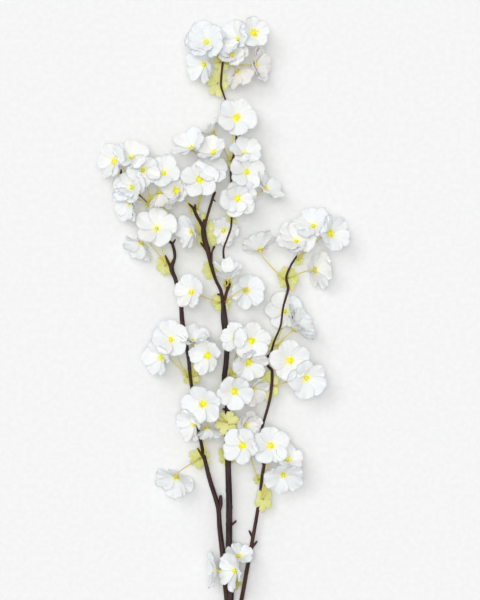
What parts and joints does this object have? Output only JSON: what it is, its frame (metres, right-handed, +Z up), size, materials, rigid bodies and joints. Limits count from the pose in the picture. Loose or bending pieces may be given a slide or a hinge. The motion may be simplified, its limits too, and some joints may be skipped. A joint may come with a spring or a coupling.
{
  "type": "peach blossom spray",
  "caption": "Artificial peach blossom spray lying flat: a forked brown stem with lobed yellow-green leaves and open white flowers on short stalks.",
  "frame": {"origin": "on the surface that the spray lies on, under the middle of its bounding box", "axes": "+Y along the spray from the cut end of its stem to its tip, +X to the right seen from above, +Z up off the surface"},
  "size_m": [0.3012, 0.7696, 0.0611],
  "materials": {
    "bark": "dark purple-brown ridged bark, satin",
    "leaf": "yellow-green pressed cloth, matte",
    "petal": "cool white pressed cloth, matte"
  },
  "bodies": {
    "root": {"wood": "bark", "leaf_arm": "leaf", "leaf_base": "leaf", "leaf_crown": "leaf", "leaf_elbow": "leaf", "leaf_fork": "leaf", "leaf_gold": "leaf", "leaf_inner": "leaf", "leaf_left": "leaf", "leaf_left_low": "leaf", "leaf_left_tip": "leaf", "leaf_limb_lower": "leaf", "leaf_limb_upper": "leaf", "leaf_low": "leaf", "leaf_pale": "leaf", "leaf_right": "leaf", "leaf_right_arm": "leaf", "leaf_right_low": "leaf", "leaf_right_middle": "leaf", "leaf_right_small": "leaf", "leaf_right_tip": "leaf", "leaf_star": "leaf", "leaf_tips": "leaf", "leaf_top": "leaf", "leaf_upper": "leaf", "flowers_arm_left": "petal", "flowers_arm_right": "petal", "flowers_base": "petal", "flowers_base_left": "petal", "flowers_base_right": "petal", "flowers_base_side": "petal", "flowers_fork_left": "petal", "flowers_fork_right": "petal", "flowers_inner": "petal", "flowers_left": "petal", "flowers_left_foot": "petal", "flowers_left_inner": "petal", "flowers_left_low": "petal", "flowers_limb_hanging": "petal", "flowers_limb_left": "petal", "flowers_limb_right": "petal", "flowers_limb_right_low": "petal", "flowers_limb_right_mid": "petal", "flowers_middle": "petal", "flowers_middle_back": "petal", "flowers_middle_low": "petal", "flowers_pale_left": "petal", "flowers_right": "petal", "flowers_right_left": "petal", "flowers_right_low": "petal", "flowers_tips": "petal", "flowers_top_back": "petal", "flowers_top_left": "petal", "flowers_top_low": "petal", "flowers_top_right": "petal", "flowers_upper": "petal", "flowers_upper_cup": "petal", "flowers_upper_left": "petal", "flowers_upper_right": "petal"}
  },
  "joints": []
}
